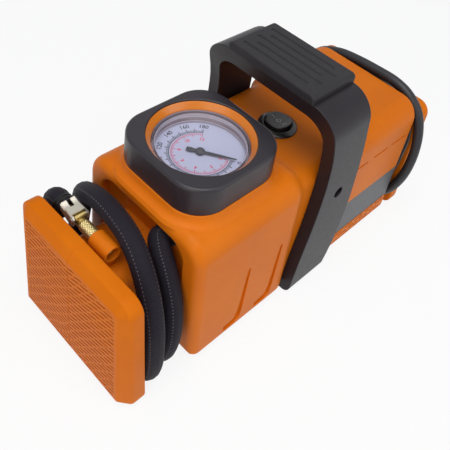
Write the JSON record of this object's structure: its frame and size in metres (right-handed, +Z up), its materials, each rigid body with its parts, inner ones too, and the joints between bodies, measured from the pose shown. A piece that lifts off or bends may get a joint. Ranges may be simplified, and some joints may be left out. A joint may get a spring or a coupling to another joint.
{
  "type": "portable tire inflator",
  "caption": "Portable tire inflator shaped like a spool, with a dial gauge, rocker switch, carry handle, braided hose with a lever chuck and a wound power lead.",
  "frame": {"origin": "centre of the standing base on the ground", "axes": "+X from the hose end to the power lead end, +Y to the far side, +Z up"},
  "size_m": [0.308, 0.146, 0.166],
  "materials": {
    "orange": "fine matte moulded grain",
    "charcoal": "satin moulded",
    "grip": "matte",
    "black_gloss": "gloss",
    "clear": "clear polycarbonate",
    "dial_white": "printed card",
    "steel": "bright zinc plate",
    "brass": "turned and knurled",
    "hose_braid": "braided",
    "lead_rubber": "smooth",
    "alloy": "die cast",
    "gear_nylon": "natural nylon",
    "copper_coil": "taped winding",
    "board_green": "solder mask",
    "label": "plain label stock"
  },
  "bodies": {
    "housing": {"near_shell": "orange", "far_shell": "orange", "shell_screws": "steel", "label_plate": "label", "chuck_holder": "orange", "handle_frame": "charcoal", "grip_pad": "grip", "handle_screws": "charcoal", "gauge_bezel": "charcoal", "gauge_ring": "orange", "gauge_lens": "clear", "gauge_dial": "dial_white", "gauge_can": "steel", "switch_body": "black_gloss", "hose": "hose_braid", "hose_nipple": "brass", "hose_ferrule": "steel", "chuck_body": "brass", "chuck_pin": "brass", "lead_coil": "lead_rubber", "lead_loop": "lead_rubber", "lead_boot": "lead_rubber", "plug_body": "black_gloss", "plug_springs": "steel", "pump_frame": "alloy", "cylinder": "alloy", "cylinder_head": "alloy", "head_screws": "steel", "air_manifold": "brass", "gear_bearing": "steel", "motor_can": "steel", "motor_cap": "charcoal", "motor_screws": "steel", "power_board": "board_green", "transformer": "copper_coil", "capacitor": "charcoal", "board_screws": "steel"},
    "needle": {"gauge_needle": "charcoal"},
    "rocker": {"switch_rocker": "black_gloss"},
    "lever": {"chuck_lever": "steel"},
    "crank": {"drive_gear": "gear_nylon"},
    "rod": {"con_rod": "alloy", "wrist_pin": "steel"},
    "piston_body": {"piston": "alloy", "piston_ring": "grip"},
    "rotor": {"motor_shaft": "steel", "pinion": "brass", "fan": "gear_nylon"},
    "tip": {"plug_tip": "steel"}
  },
  "joints": [
    {"name": "needle_turn", "type": "hinge", "parent": "housing", "child": "needle", "pos_m": [-0.0544, 0, 0.126], "axis": [0, 0, 1], "range_deg": [-270, 0], "stiffness_Nm_per_rad": 0.0001},
    {"name": "rocker_tilt", "type": "hinge", "parent": "housing", "child": "rocker", "pos_m": [0.0208, 0, 0.1075], "axis": [1, 0, 0], "range_deg": [-12, 12]},
    {"name": "lever_lift", "type": "hinge", "parent": "housing", "child": "lever", "pos_m": [-0.1275, 0.02, 0.1001], "axis": [1, 0, 0], "range_deg": [0, 90]},
    {"name": "crank_turn", "type": "hinge", "parent": "housing", "child": "crank", "pos_m": [-0.014, 0, 0.038], "axis": [1, 0, 0], "continuous": true},
    {"name": "motor_spin", "type": "hinge", "parent": "housing", "child": "rotor", "pos_m": [0.016, 0, 0.068], "axis": [1, 0, 0], "continuous": true},
    {"name": "rod_swing", "type": "hinge", "parent": "crank", "child": "rod", "pos_m": [-0.046, 0, 0.043], "axis": [1, 0, 0], "continuous": true},
    {"name": "piston_stroke", "type": "slide", "parent": "housing", "child": "piston_body", "axis": [0, 0, 1], "range_m": [-0.01, 0]},
    {"name": "plug_tip_press", "type": "slide", "parent": "housing", "child": "tip", "axis": [1, 0, 0], "range_m": [0, 0.003], "stiffness_N_per_m": 600}
  ],
  "couplings": [
    {"joint": "motor_spin", "follows": "crank_turn", "ratio": -5},
    {"joint": "rod_swing", "follows": "crank_turn", "ratio": -1}
  ]
}
